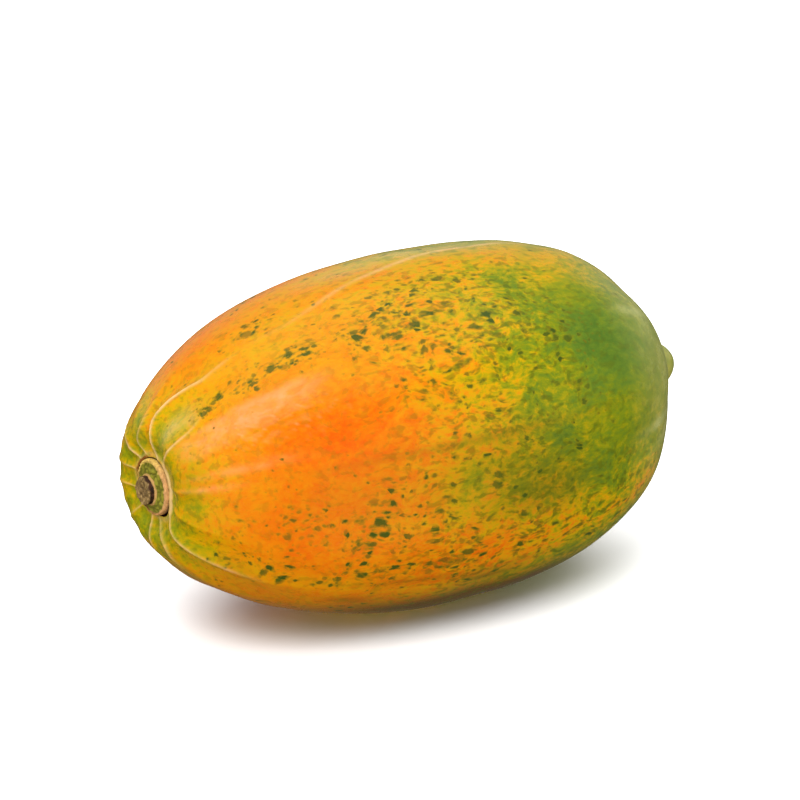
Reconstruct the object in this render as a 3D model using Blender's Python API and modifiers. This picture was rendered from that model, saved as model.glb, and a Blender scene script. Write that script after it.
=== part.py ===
"""A ripening papaya lying on its side: the fruit, and the remnant of its stalk.

The fruit's own axis runs from the stalk, at -X, to the blossom tip, at +X. Two
angles name a point of the skin: `along` goes from 0 at the stalk to pi at the
tip, and `around` starts at +Y, passes over the top and comes down the -Y side.
Lengths are in metres.
"""
import math

import bmesh
import bpy
import numpy as np

# The body between its two ends, before the stalk basin and the tip reshape it
BODY_LENGTH = 0.215
BODY_RADIUS = 0.0647
BLUNTNESS = 0.92                # 1 is an ellipse, less is blunter at both ends
TAPER = (-0.053, 0.106, -0.081)  # radius gained with cos(along), its square and its cube
OVAL = 0.0107                   # share by which the section is wider than it is high
UNEVEN = 0.0126                 # share of a weak three-sided unevenness
UNEVEN_AT = math.radians(116)

# Five low lobes, one for each chamber of the ovary the fruit grew from
LOBES = 5
GROOVE_AT = math.radians(115)
GROOVE_SHIFT = math.radians(6)
GROOVE_WANDER = math.radians(5)
LOBE_MIDDLE = 0.014             # rise of a lobe as a share of the radius, at mid length
LOBE_ENDS = 0.05

# The basin that holds the stalk, and the low shoulder round it
SEAT_RADIUS = 0.0105
BASIN_DEPTH = 0.0057
BASIN_SPREAD = 0.007
SHOULDER_RISE = 0.0010
SHOULDER_RADIUS = 0.022
SHOULDER_SPREAD = 0.008

# The drawn-out blossom tip and its nub
TIP_RISE = 0.0113
TIP_SPREAD = 0.0179
TIP_LIFT = 0.002
NUB_RISE = 0.0059
NUB_RADIUS = 0.0095

# Thin ribs run out from the stalk with shallow furrows between them. A rib has its reach
# in metres, where the furrows beside it die away, and its course: distances over the skin
# from the stalk's centre, in millimetres, each with the angle around there in degrees.
RIBS = (
    (0.090, ((11, 110), (13, 98), (21, 95), (27, 90), (34, 93), (48, 102), (84, 103), (149, 90))),
    (0.055, ((11, 131), (22, 128), (34, 126), (42, 121), (60, 119))),
    (0.045, ((11, 162), (25, 169), (50, 166))),
    (0.035, ((11, 185), (20, 192), (32, 197))),
    (0.095, ((11, 212), (16, 217), (28, 221), (56, 219), (80, 217))),
    (0.050, ((11, 258), (15, 257), (21, 244), (29, 251), (40, 251))),
    (0.045, ((11, 284), (17, 278), (24, 272), (40, 262))),
    (0.040, ((11, 314), (40, 316))),
    (0.040, ((11, 340), (17, 349), (40, 353))),
    (0.040, ((11, 16), (17, 12), (40, 8))),
    (0.050, ((11, 47), (16, 38), (23, 41), (45, 34))),
    (0.050, ((11, 70), (15, 60), (18, 63), (22, 74), (30, 77), (45, 79))),
)
COURSE_ROUNDING = 0.004         # length of the moving average that rounds a course's bends
FURROW_DEPTH = 0.0015
FURROW_ROUND = 0.75             # less than 1 sharpens the rib between two furrows

# Where it lies: the axis tips up a little at the blossom end, and the skin that
# bears on the table is pressed flat
PITCH = math.radians(1.0)
PRESSED = 0.0008

# The stalk's remnant: a collar and disc turned about the fruit's axis, and the dried stub,
# which stands off the disc's middle. Heights are from the collar's rim
COLLAR_RADIUS = 0.0102
COLLAR_BASE = -0.0030
DISC_RADIUS = 0.0082
DISC_HEIGHT = -0.0006
STUB_RADIUS = 0.0052
STUB_HEIGHT = 0.0022
STUB_ASIDE = 0.0036             # from the middle towards +Y
STUB_BELOW = 0.0022             # from the middle downwards
GAP = 0.0003                    # between the stalk's remnant and the socket it sits in

SEGMENTS_AROUND = 96
RINGS_ALONG = 46
RING_GATHERING = 0.42           # how far the rings crowd towards the two ends


def smooth_step(low, high, value):
    """0 below low, 1 above high, with an even S between them."""
    share = np.clip((value - low) / (high - low), 0, 1)
    return share * share * (3 - 2 * share)


def softened_wave(phase, softness):
    """0 in a groove and 1 on a crest; softness rounds the bottom of the groove."""
    low, high = softness, np.sqrt(1 + softness ** 2)
    return (np.sqrt(np.sin(phase / 2) ** 2 + softness ** 2) - low) / (high - low)


def profile(along):
    """Radius of the plain body: a blunt ellipse with a polynomial taper."""
    cosine = np.cos(along)
    taper = 1 + TAPER[0] * cosine + TAPER[1] * cosine ** 2 + TAPER[2] * cosine ** 3
    return BODY_RADIUS * np.abs(np.sin(along)) ** BLUNTNESS * taper


def run_from_stalk(along):
    """Distance over the skin from the stalk's centre, summed along the profile."""
    steps = np.linspace(0, math.pi, 400)
    points = np.stack([-BODY_LENGTH / 2 * np.cos(steps), profile(steps)])
    lengths = np.hypot(*np.diff(points))
    return np.interp(along, steps, np.concatenate([[0], np.cumsum(lengths)]))


def lobe_factor(along, around):
    """Factor on the radius for the five lobes, strongest at the two ends."""
    cosine = np.cos(along)
    end = smooth_step(-0.1, 0.95, np.abs(cosine))
    wander = GROOVE_WANDER * np.sin(1.1 * math.pi * (1 - cosine))
    lane = around - GROOVE_AT + GROOVE_SHIFT * np.sin(around - math.radians(40)) + wander
    rise = LOBE_MIDDLE + (LOBE_ENDS - LOBE_MIDDLE) * end
    return 1 + rise * (softened_wave(LOBES * lane, 0.7 - 0.45 * end) - 0.6)


def rib_angle(course, run):
    """A rib's angle at each run: straight from point to point, then a moving average."""
    step = 0.0005
    runs = np.arange(0, 0.3, step)
    distances, angles = np.array(course).T
    straight = np.interp(runs, distances / 1000, np.radians(angles))
    half = round(COURSE_ROUNDING / step / 2)
    window = np.full(2 * half + 1, 1 / (2 * half + 1))
    rounded = np.convolve(np.pad(straight, half, "edge"), window, "valid")
    return np.interp(run, runs, rounded)


def furrow_depth(run, around):
    """Depth of the furrows between neighbouring ribs.

    The share of the way from the rib behind to the rib ahead gives half a sine
    wave, so that each rib is the sharp line where two furrows meet.
    """
    behind = np.full(np.broadcast(run, around).shape, 2 * math.pi)
    ahead = behind.copy()
    reach = np.zeros_like(behind)
    for rib_reach, course in RIBS:
        back = (around - rib_angle(course, run)) % (2 * math.pi)
        behind = np.minimum(behind, back)
        ahead = np.minimum(ahead, 2 * math.pi - back)
        nearness = np.exp(-(np.minimum(back, 2 * math.pi - back) / 0.5) ** 2)
        reach = np.maximum(reach, nearness * rib_reach)
    share = behind / (behind + ahead)
    fade = smooth_step(SEAT_RADIUS, 1.6 * SEAT_RADIUS, run) * (1 - smooth_step(0.25, 1.0, run / reach))
    return FURROW_DEPTH * fade * np.sin(math.pi * share) ** FURROW_ROUND


def skin(along, around):
    """Points of the skin in the fruit's own frame, before it is laid down."""
    cosine, sine = np.cos(along), np.sin(along)
    radius = profile(along) * lobe_factor(along, around)
    radius = radius * (1 + OVAL * np.cos(2 * around) + UNEVEN * np.cos(3 * (around - UNEVEN_AT)))

    stalk_side = cosine > 0
    basin = BASIN_DEPTH * np.exp(-(np.maximum(radius - SEAT_RADIUS, 0) / BASIN_SPREAD) ** 2)
    shoulder = SHOULDER_RISE * np.exp(-((radius - SHOULDER_RADIUS) / SHOULDER_SPREAD) ** 2)
    tip = TIP_RISE * np.exp(-(radius / TIP_SPREAD) ** 2)
    nub = NUB_RISE * np.clip(1 - (radius / NUB_RADIUS) ** 2, 0, 1) ** 0.7
    x = -BODY_LENGTH / 2 * cosine + np.where(stalk_side, basin - shoulder, tip + nub)
    y = radius * np.cos(around)
    z = radius * np.sin(around) + TIP_LIFT * np.clip(-cosine, 0, 1) ** 3

    outward = np.stack([-cosine / (BODY_LENGTH / 2) + 0 * around,
                        sine * np.cos(around) / BODY_RADIUS,
                        sine * np.sin(around) / BODY_RADIUS])
    outward /= np.linalg.norm(outward, axis=0)
    return np.stack([x, y, z]) - furrow_depth(run_from_stalk(along), around) * outward


def laid_down(points):
    """Tips the blossom end up by PITCH, then presses the lowest skin flat."""
    x, y, z = points
    x, z = (x * math.cos(PITCH) - z * math.sin(PITCH),
            x * math.sin(PITCH) + z * math.cos(PITCH))
    return np.stack([x, y, np.maximum(z, z.min() + PRESSED)])


def material(name, colour, roughness):
    """A Principled material of one colour."""
    finish = bpy.data.materials.new(name)
    finish.use_nodes = True
    shader = finish.node_tree.nodes["Principled BSDF"]
    shader.inputs["Base Color"].default_value = (*colour, 1)
    shader.inputs["Roughness"].default_value = roughness
    shader.inputs["Metallic"].default_value = 0
    return finish


def place(name, mesh, collection, parent, finish=None):
    """A named object for the mesh, parented to the fruit's resting place."""
    mesh.shade_smooth()
    item = bpy.data.objects.new(name, mesh)
    collection.objects.link(item)
    item.parent = parent
    if finish:
        mesh.materials.append(finish)
    return item


def along_stalk(height):
    """Location and rotation of a piece that stands `height` above the collar's rim."""
    distance = -BODY_LENGTH / 2 + BASIN_DEPTH - height
    spot = (distance * math.cos(PITCH), 0, distance * math.sin(PITCH))
    return spot, (0, -(math.pi / 2 + PITCH), 0)


def make_fruit(collection, resting_place):
    """A sphere whose points are moved onto the skin, crowded towards its ends."""
    shape = bmesh.new()
    bmesh.ops.create_uvsphere(shape, u_segments=SEGMENTS_AROUND, v_segments=RINGS_ALONG, radius=1)
    ball = np.array([vertex.co for vertex in shape.verts]).T
    along = np.arccos(np.clip(ball[2], -1, 1))
    along = along - RING_GATHERING / 2 * np.sin(2 * along)
    around = np.arctan2(-ball[1], ball[0])
    for vertex, point in zip(shape.verts, laid_down(skin(along, around)).T):
        vertex.co = point
    mesh = bpy.data.meshes.new("papaya_fruit")
    shape.to_mesh(mesh)
    shape.free()
    skin_finish = material("papaya_skin", (0.86, 0.38, 0.02), 0.38)
    return place("papaya_fruit", mesh, collection, resting_place, skin_finish)


def cut_socket(fruit, cutters, resting_place):
    """The shallow round socket that the stalk's remnant sits in."""
    depth = GAP - COLLAR_BASE
    above = 0.010
    shape = bmesh.new()
    bmesh.ops.create_cone(shape, cap_ends=True, segments=48, depth=depth + above,
                          radius1=SEAT_RADIUS, radius2=SEAT_RADIUS)
    mesh = bpy.data.meshes.new("socket_cutter")
    shape.to_mesh(mesh)
    shape.free()
    cutter = place("socket_cutter", mesh, cutters, resting_place)
    cutter.location, cutter.rotation_euler = along_stalk((above - depth) / 2)
    cutter.hide_render = True
    cutter.display_type = "WIRE"
    cut = fruit.modifiers.new("socket", "BOOLEAN")
    cut.operation = "DIFFERENCE"
    cut.object = cutter


def turned(name, outline, collection, resting_place, finish=None):
    """A solid of revolution about the stalk's axis, from (radius, height) points."""
    mesh = bpy.data.meshes.new(name)
    mesh.from_pydata([(radius, 0, height) for radius, height in outline],
                     [(step, step + 1) for step in range(len(outline) - 1)], [])
    item = place(name, mesh, collection, resting_place, finish)
    item.location, item.rotation_euler = along_stalk(0)
    turn = item.modifiers.new("turned", "SCREW")
    turn.steps = turn.render_steps = 48
    turn.use_merge_vertices = True
    turn.merge_threshold = 0.00001
    turn.use_smooth_shade = True
    return item


def make_stub(collection, fused, resting_place):
    """Collar and disc, with the dried stub fused to them off their middle."""
    collar = turned("stem_stub", (
        (0, DISC_HEIGHT), (DISC_RADIUS - 0.0016, DISC_HEIGHT + 0.0003), (DISC_RADIUS, DISC_HEIGHT),
        (DISC_RADIUS + 0.0006, 0), (COLLAR_RADIUS - 0.0005, 0.0001), (COLLAR_RADIUS, -0.0006),
        (COLLAR_RADIUS, COLLAR_BASE), (0, COLLAR_BASE),
    ), collection, resting_place, material("dried_stalk", (0.33, 0.22, 0.09), 0.75))
    stub = turned("stub", (
        (0, STUB_HEIGHT - 0.0004), (0.6 * STUB_RADIUS, STUB_HEIGHT - 0.0002),
        (0.90 * STUB_RADIUS, STUB_HEIGHT), (0.97 * STUB_RADIUS, STUB_HEIGHT - 0.0006),
        (0.97 * STUB_RADIUS, DISC_HEIGHT + 0.0008), (1.04 * STUB_RADIUS, DISC_HEIGHT),
        (1.04 * STUB_RADIUS, COLLAR_BASE / 2), (0, COLLAR_BASE / 2),
    ), fused, resting_place)
    stub.location.y += STUB_ASIDE
    stub.location.z -= STUB_BELOW
    stub.hide_render = True
    stub.display_type = "WIRE"
    fuse = collar.modifiers.new("stub", "BOOLEAN")
    fuse.operation = "UNION"
    fuse.object = stub
    return collar


def rest_on_origin(parts, resting_place):
    """Moves the whole fruit so that the middle of its underside is at the origin."""
    bpy.context.view_layer.update()
    graph = bpy.context.evaluated_depsgraph_get()
    corners = []
    for item in parts:
        solid = item.evaluated_get(graph)
        corners += [solid.matrix_world @ vertex.co for vertex in solid.data.vertices]
    corners = np.array(corners)
    low, high = corners.min(axis=0), corners.max(axis=0)
    resting_place.location = (-(low[0] + high[0]) / 2, -(low[1] + high[1]) / 2, -low[2])


def build():
    for item in list(bpy.data.objects):
        bpy.data.objects.remove(item)
    papaya = bpy.data.collections.new("papaya")
    cutters = bpy.data.collections.new("cutters")
    fused = bpy.data.collections.new("fused")
    for collection in (papaya, cutters, fused):
        bpy.context.scene.collection.children.link(collection)

    resting_place = bpy.data.objects.new("resting_place", None)
    papaya.objects.link(resting_place)
    fruit = make_fruit(papaya, resting_place)
    cut_socket(fruit, cutters, resting_place)
    stub = make_stub(papaya, fused, resting_place)
    rest_on_origin((fruit, stub), resting_place)


build()
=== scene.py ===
"""Looks of a ripening papaya: its mottled skin, the remnant of its stalk, a pale floor and soft light."""
import math

import bpy
import numpy as np
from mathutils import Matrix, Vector


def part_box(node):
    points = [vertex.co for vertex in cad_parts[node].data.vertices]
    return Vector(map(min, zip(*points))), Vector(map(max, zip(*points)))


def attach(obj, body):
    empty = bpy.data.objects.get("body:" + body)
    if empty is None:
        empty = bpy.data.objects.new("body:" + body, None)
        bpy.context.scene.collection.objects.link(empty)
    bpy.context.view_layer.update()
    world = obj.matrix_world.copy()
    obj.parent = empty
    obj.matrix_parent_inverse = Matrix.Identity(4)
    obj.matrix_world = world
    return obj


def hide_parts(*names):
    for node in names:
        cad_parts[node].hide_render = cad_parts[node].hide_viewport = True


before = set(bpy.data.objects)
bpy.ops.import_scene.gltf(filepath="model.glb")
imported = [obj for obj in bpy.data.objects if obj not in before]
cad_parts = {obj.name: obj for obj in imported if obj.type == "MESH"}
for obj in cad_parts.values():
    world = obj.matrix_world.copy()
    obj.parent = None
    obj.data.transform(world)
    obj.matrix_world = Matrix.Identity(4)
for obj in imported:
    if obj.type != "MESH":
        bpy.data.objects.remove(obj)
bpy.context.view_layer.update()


# Fruit
# One grown body whose waxy skin turns from green to orange. `along` goes from 0 at the stalk to
# pi at the blossom tip, `around` from +Y over the top to -Y, and `run` is the way over the skin.
BODY_LENGTH = 0.215
BODY_RADIUS = 0.0647
BLUNTNESS = 0.92                # 1 is an ellipse, less is blunter at both ends
TAPER = (-0.053, 0.106, -0.081)  # radius gained with cos(along), its square and its cube
OVAL = 0.0107                   # share by which the section is wider than it is high
UNEVEN = 0.0126                 # share of a weak three-sided unevenness
UNEVEN_AT = math.radians(116)
LOBES = 5
GROOVE_AT = math.radians(115)
GROOVE_SHIFT = math.radians(6)
GROOVE_SHIFT_FROM = math.radians(40)
GROOVE_WANDER = math.radians(5)
GROOVE_WAVES = 1.1
LOBE_MIDDLE = 0.014             # rise of a lobe as a share of the radius, at mid length
LOBE_ENDS = 0.05
LOBES_GROW = (-0.1, 0.95)       # cosines of `along` between which the rise grows to that of the ends
LOBE_SOFTNESS = 0.7
LOBE_SHARPENS = 0.45            # softness lost towards the ends
LOBE_SUNK = 0.6                 # share of its rise by which a lobe starts lower
SEAT_RADIUS = 0.0105
BASIN_DEPTH = 0.0057
BASIN_SPREAD = 0.007
SHOULDER_RISE = 0.0010
SHOULDER_RADIUS = 0.022
SHOULDER_SPREAD = 0.008
TIP_RISE = 0.0113
TIP_SPREAD = 0.0179
TIP_LIFT = 0.002
NUB_RISE = 0.0059
NUB_RADIUS = 0.0095
NUB_STEEPNESS = 0.7             # less is a steeper edge
FURROW_DEPTH = 0.0015
FURROW_ROUND = 0.75             # less than 1 sharpens the rib between two furrows
FURROW_BREADTH = 0.5            # radians from a rib over which its furrows keep their reach
FURROW_BEGINS = 1.6             # in radii of the seat
FURROW_FADES = (0.25, 1.0)      # in shares of its reach
PITCH = math.radians(1.0)
PRESSED = 0.0008

# The crevice round the stalk gapes over the top and at the lower near side: how far, at which
# angle, and over how many radians. The socket's rings are shares of its mouth's radius, then
# (height up its wall, share of the lip's radius).
GAPES = ((0.0009, 106, 0.40), (0.0003, 35, 0.35), (0.0009, 225, 0.42), (0.0004, 170, 0.07))
SOCKET_DEPTH = 0.0033
FLOOR_RINGS = (0.3, 0.6, 0.85, 0.98)
WALL_RINGS = ((0.08, 0.985), (0.35, 0.985), (0.65, 0.985), (0.85, 0.985), (0.96, 0.993))

# Ribs: the furrows' reach, then strength, half width and length of the pale line on the rib, which is
# partly a painted highlight on its crest, and the strength of its faint far part, a painted highlight
# along the top ridge, then its course as (run in mm, angle in degrees)
RIBS = (
    (0.090, (1.0, 0.00056, 0.066, 0.50),
     ((11, 110), (13, 98), (21, 95), (27, 90), (34, 93), (48, 102), (84, 103), (149, 90), (185, 88))),
    (0.055, (0.66, 0.00044, 0.044, 0), ((11, 131), (22, 128), (34, 126), (42, 121), (60, 119))),
    (0.045, (0.0, 0.00100, 0.050, 0), ((11, 162), (25, 169), (50, 166))),
    (0.035, (0.0, 0.00100, 0.035, 0), ((11, 185), (20, 192), (32, 197))),
    (0.095, (0.55, 0.00054, 0.060, 0), ((11, 212), (16, 217), (28, 221), (56, 219), (80, 217))),
    (0.050, (0.45, 0.00110, 0.040, 0), ((11, 258), (15, 257), (21, 244), (29, 251), (40, 251))),
    (0.045, (0.55, 0.00046, 0.032, 0), ((11, 284), (17, 278), (24, 272), (40, 262))),
    (0.040, (0.40, 0.00032, 0.026, 0), ((11, 314), (40, 316))),
    (0.040, (0.40, 0.00032, 0.026, 0), ((11, 340), (17, 349), (40, 353))),
    (0.040, (0.50, 0.00032, 0.024, 0), ((11, 16), (17, 12), (40, 8))),
    (0.050, (0.70, 0.00050, 0.036, 0), ((11, 47), (16, 38), (23, 41), (45, 34))),
    (0.050, (0.60, 0.00046, 0.036, 0), ((11, 70), (15, 60), (18, 63), (22, 74), (30, 77), (45, 79))),
)
COURSE_ROUNDING = 0.004         # length of the moving average that rounds a course's bends
COURSE_STEP = 0.0005
LINE_BEGINS = 1.2               # in radii of the seat
LINE_FADES = (0.5, 1.0)         # in shares of its length, as the next one is
LINE_WIDENS = (0.5, 1.3)
LINE_CUT_OFF = (2.2, 3.2)       # half widths from its middle
FAR_LINE_BEGINS = (0.060, 0.150)
FAR_LINE_ENDS = (0.175, 0.205)
FAR_LINE_WIDENS = 2.0           # a far line is this many times wider
CREST_HEIGHT = 0.0004           # how far a pale line stands out of its rib
CREST_WIDTH = 0.0007
SWELL_HEIGHT = 0.00022          # soft unevenness of the whole skin
SWELL_LENGTH = 0.030
WRINKLE_HEIGHT = 0.00040        # fine wrinkles where the ripest skin has begun to slacken
WRINKLE_LENGTH = 0.0045
WRINKLE_LEAN = 0.35             # a wrinkle is drawn out along the fruit by one over this
WRINKLE_SHARPNESS = 0.6
ROW_GATHERING = 0.36            # how far the rows crowd towards both ends
SKIN_ROWS = 248
COLUMNS = 368

# Ripeness runs from 0, green, to 1, deep orange. Along the fruit it is given as (share of the
# run, value). A patch of it, or of any later kind, is (share of the run, angle round, half
# length, half width in degrees, weight).
RIPENESS_ALONG = ((0.0, 0.55), (0.06, 0.58), (0.10, 0.66), (0.15, 0.75), (0.22, 0.80), (0.34, 0.79),
                  (0.42, 0.75), (0.50, 0.66), (0.58, 0.54), (0.66, 0.45), (0.80, 0.46), (1.0, 0.42))
RIPENESS_PATCHES = (
    (0.28, 153, 0.090, 13, 0.18), (0.23, 188, 0.100, 22, 0.12), (0.17, 68, 0.060, 18, 0.08),
    (0.40, 166, 0.090, 22, 0.07), (0.67, 115, 0.060, 9, 0.10), (0.57, 150, 0.035, 14, -0.09),
    (0.27, 107, 0.140, 15, -0.10), (0.43, 208, 0.130, 12, 0.11), (0.57, 206, 0.110, 10, 0.20),
    (0.70, 207, 0.090, 9, 0.12), (0.65, 99, 0.130, 11, 0.17),
    (0.47, 82, 0.120, 8, -0.08), (0.60, 115, 0.028, 6, -0.20),
    (0.69, 143, 0.075, 19, -0.30), (0.80, 148, 0.090, 28, -0.14), (0.59, 172, 0.035, 9, -0.18),
    (0.67, 183, 0.060, 9, -0.10), (0.53, 184, 0.035, 8, -0.12), (0.46, 178, 0.030, 9, -0.16),
    (0.085, 110, 0.022, 7, -0.03), (0.12, 114, 0.030, 8, -0.04), (0.10, 148, 0.030, 10, 0.05),
    (0.105, 181, 0.022, 6, -0.14), (0.085, 200, 0.022, 7, -0.06), (0.10, 64, 0.035, 7, -0.16),
    (0.073, 28, 0.022, 9, -0.06), (0.12, 216, 0.060, 10, -0.06), (0.08, 83, 0.030, 6, 0.24),
    (0.25, 214, 0.100, 5, -0.08), (0.065, 293, 0.020, 14, -0.10),
    (0.62, 38, 0.110, 30, -0.22), (0.68, 350, 0.100, 34, -0.30), (0.62, 292, 0.110, 30, -0.22),
    (0.27, 8, 0.110, 24, 0.10), (0.30, 300, 0.100, 22, 0.10), (0.40, 255, 0.140, 18, -0.12),
    (0.77, 204, 0.040, 8, 0.16), (0.50, 20, 0.060, 14, 0.16), (0.56, 322, 0.050, 12, -0.12),
    (0.47, 290, 0.060, 14, 0.12), (0.76, 8, 0.070, 20, 0.14), (0.80, 296, 0.060, 18, 0.12),
    (0.33, 335, 0.120, 14, -0.08), (0.10, 330, 0.040, 20, -0.08), (0.12, 262, 0.050, 14, -0.10),
)
FURROW_GREEN = 0.08             # ripeness lost at the bottom of a furrow beside the stalk
FURROW_GREEN_ENDS = (0.08, 0.17)
SOCKET_RIPENESS = 0.4

# The lip's pale scar is strong on the near side and faint elsewhere, and latex has stained the
# far side. Their distances are from the mouth of the crevice.
LIP_MIDDLE = math.radians(166)
LIP_SIDE = (0.65, 0.95)         # radians from the middle between which the lip turns faint
LIP_FAINTEST = 0.25
LIP_FROM_MOUTH = 0.0010
LIP_WIDTH = 0.0012
STAIN_MIDDLE = math.radians(42)
STAIN_BREADTH = 0.70
STAIN_ENDS = (0.0004, 0.0022)

# How much blotches break the colour up, along the fruit and in patches
MOTTLE_ALONG = ((0.0, 0.22), (0.08, 0.28), (0.13, 0.22), (0.18, 0.14), (0.34, 0.18), (0.45, 0.36),
                (0.55, 0.46), (0.62, 0.40), (0.68, 0.24), (0.80, 0.20), (1.0, 0.20))
MOTTLE_PATCHES = ((0.72, 205, 0.100, 22, 0.30), (0.80, 110, 0.080, 20, 0.15),
                  (0.55, 92, 0.140, 14, -0.20))

# Density of the dark specks, which begin past the stalk end and thin out at the blossom end
SPECK_GROUND = 0.08
SPECKS_BEGIN = (0.07, 0.14)
SPECKS_THIN_OUT = (0.66, 0.76)
SPECKS_LOST = 0.8
SPECK_PATCHES = (
    (0.28, 119, 0.15, 4, 0.80), (0.42, 125, 0.10, 9, 0.42), (0.16, 121, 0.03, 3, 0.40),
    (0.40, 109, 0.12, 6, 0.30), (0.33, 192, 0.07, 10, 0.26), (0.25, 184, 0.05, 8, 0.22),
    (0.25, 211, 0.08, 5, 0.45), (0.26, 95, 0.03, 4, 0.40), (0.42, 190, 0.09, 16, 0.20),
    (0.52, 165, 0.13, 40, 0.20), (0.60, 135, 0.08, 22, 0.12), (0.46, 136, 0.09, 18, 0.16),
    (0.40, 207, 0.14, 9, 0.22), (0.58, 205, 0.14, 10, 0.24), (0.16, 205, 0.05, 14, 0.22),
    (0.23, 150, 0.10, 13, -0.10), (0.38, 60, 0.15, 20, 0.20), (0.33, 330, 0.14, 40, 0.22),
    (0.35, 260, 0.15, 25, 0.22),
)

# Scuffed wax bloom with a painted highlight on the ripest side: pale streaks, mostly painted highlight,
# and one big pale patch, the key light's painted highlight over the bloom, whose lower edge climbs along
# the fruit, with the shares of the run or the angles between which each of its edges fades
BLOOM_AND_HIGHLIGHT_PATCHES = ((0.17, 158, 0.060, 2.2, 0.55), (0.12, 166.5, 0.030, 2.0, 0.80),
                 (0.22, 136, 0.050, 4.0, 0.30))
# strength of the big pale patch: the key light's painted highlight over scuffed bloom
BLOOM_SHEEN = 0.8
BLOOM_SHEEN_BEGINS = (0.08, 0.13)
BLOOM_SHEEN_ENDS = (0.25, 0.33)
BLOOM_SHEEN_UPPER_EDGE = (127, 132)
BLOOM_SHEEN_LOWER_EDGE = (142, 151)
BLOOM_SHEEN_CLIMB = 60                # degrees that the lower edge would climb over the whole run

# The slackened skin under the big painted highlight: the middle of its wrinkles and of their pale
# crests, a painted highlight, as (share of the run, angle round, half length, half width in radians)
SLACK = (0.21, math.radians(141), 0.09, 0.22)
HIGHLIT_CREASES = (0.22, math.radians(143), 0.07, 0.12)
# strength of the wrinkles' pale crests, a painted highlight
CREASE_HIGHLIGHT = 0.8
CREASE_HEIGHTS = (0.50, 0.90)   # share of a wrinkle's height where its pale crest begins and is full

# A grey over the blossom end, more on its near side, and in patches: partly wax bloom and partly a
# painted sheen of the surroundings reflected at grazing angles; some of the patches, on the top edge
# and by the nub, are painted highlights
WAX_AND_SHEEN_GROWS = (0.70, 0.85)
WAX_AND_SHEEN_EVERYWHERE = 0.30
WAX_AND_SHEEN_NEAR_SIDE = 0.75
WAX_AND_SHEEN_MIDDLE = math.radians(150)
WAX_AND_SHEEN_BREADTH = 1.2
WAX_AND_SHEEN_LIMIT = 2.1
WAX_AND_SHEEN_PATCHES = ((0.105, 113, 0.030, 7, 0.9), (0.125, 120, 0.020, 4, 0.4), (0.15, 66, 0.080, 10, 0.3),
                (0.79, 131, 0.035, 2.4, 1.2), (0.81, 182, 0.045, 2.6, 1.2), (0.83, 192, 0.030, 2.4, 1.0),
                (0.52, 85, 0.150, 7, 0.9))

# Olive brown: thin streak lines on the near side, and wide patches on the lower side that are partly
# painted shade, where the fruit turns away from the light towards the floor
OLIVE_BROWN_AND_SHADE_PATCHES = (
    (0.47, 165.5, 0.190, 1.6, 0.28), (0.45, 214, 0.160, 2.0, 0.30), (0.57, 232, 0.110, 11, 0.95),
    (0.40, 234, 0.140, 12, 0.80), (0.56, 266, 0.150, 26, 0.65), (0.505, 218, 0.045, 1.8, 0.50),
    (0.31, 223, 0.030, 2.2, 0.30), (0.30, 262, 0.150, 26, 0.35), (0.36, 180, 0.160, 14, 0.14),
    (0.52, 177, 0.100, 19, 0.32), (0.59, 189, 0.070, 9, 0.34), (0.095, 166, 0.028, 34, 0.22),
    (0.16, 217, 0.030, 6, 0.22),
)


def smooth_step(low, high, value):
    """0 below low, 1 above high, with an even S between them."""
    share = np.clip((value - low) / (high - low), 0, 1)
    return share * share * (3 - 2 * share)


def apart(angle, other):
    """The angle from other to angle, between minus pi and pi."""
    return (angle - other + math.pi) % (2 * math.pi) - math.pi


def ripples(points, wavelength, seed, waves=28):
    """A smooth random field: plane waves, each 0.7 to 1.6 wavelengths long, in random directions."""
    draw = np.random.default_rng(seed)
    directions = draw.normal(size=(waves, 3))
    directions /= np.linalg.norm(directions, axis=1, keepdims=True)
    lengths = wavelength * draw.uniform(0.7, 1.6, waves)
    phases = draw.uniform(0, 2 * math.pi, waves)
    total = 0
    for direction, length, phase in zip(directions, lengths, phases):
        total = total + np.sin(2 * math.pi / length * np.tensordot(direction, points, 1) + phase)
    return total * math.sqrt(2 / waves)


def profile(along):
    """Radius of the plain body: a blunt ellipse with a polynomial taper."""
    cosine = np.cos(along)
    taper = 1 + TAPER[0] * cosine + TAPER[1] * cosine ** 2 + TAPER[2] * cosine ** 3
    return BODY_RADIUS * np.abs(np.sin(along)) ** BLUNTNESS * taper


PROFILE_STEPS = np.linspace(0, math.pi, 2000)
PROFILE_RUN = np.concatenate([[0], np.cumsum(np.hypot(
    np.diff(BODY_LENGTH / 2 * np.cos(PROFILE_STEPS)), np.diff(profile(PROFILE_STEPS))))])
WHOLE_RUN = PROFILE_RUN[-1]


def lobe_factor(along, around):
    """Factor on the radius for five low lobes: a rounded sine, strongest at the two ends."""
    cosine = np.cos(along)
    end = smooth_step(*LOBES_GROW, np.abs(cosine))
    wander = GROOVE_WANDER * np.sin(GROOVE_WAVES * math.pi * (1 - cosine))
    lane = around - GROOVE_AT + GROOVE_SHIFT * np.sin(around - GROOVE_SHIFT_FROM) + wander
    softness = LOBE_SOFTNESS - LOBE_SHARPENS * end
    wave = np.sqrt(np.sin(LOBES * lane / 2) ** 2 + softness ** 2) - softness
    rise = LOBE_MIDDLE + (LOBE_ENDS - LOBE_MIDDLE) * end
    return 1 + rise * (wave / (np.sqrt(1 + softness ** 2) - softness) - LOBE_SUNK)


def course_angle(course, run):
    """A rib's angle at each run: straight from point to point, then a moving average."""
    runs = np.arange(0, WHOLE_RUN, COURSE_STEP)
    distances, angles = np.array(course).T
    straight = np.interp(runs, distances / 1000, np.radians(angles))
    half = round(COURSE_ROUNDING / COURSE_STEP / 2)
    window = np.full(2 * half + 1, 1 / (2 * half + 1))
    rounded_course = np.convolve(np.pad(straight, half, "edge"), window, "valid")
    return np.interp(run, runs, rounded_course)


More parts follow.
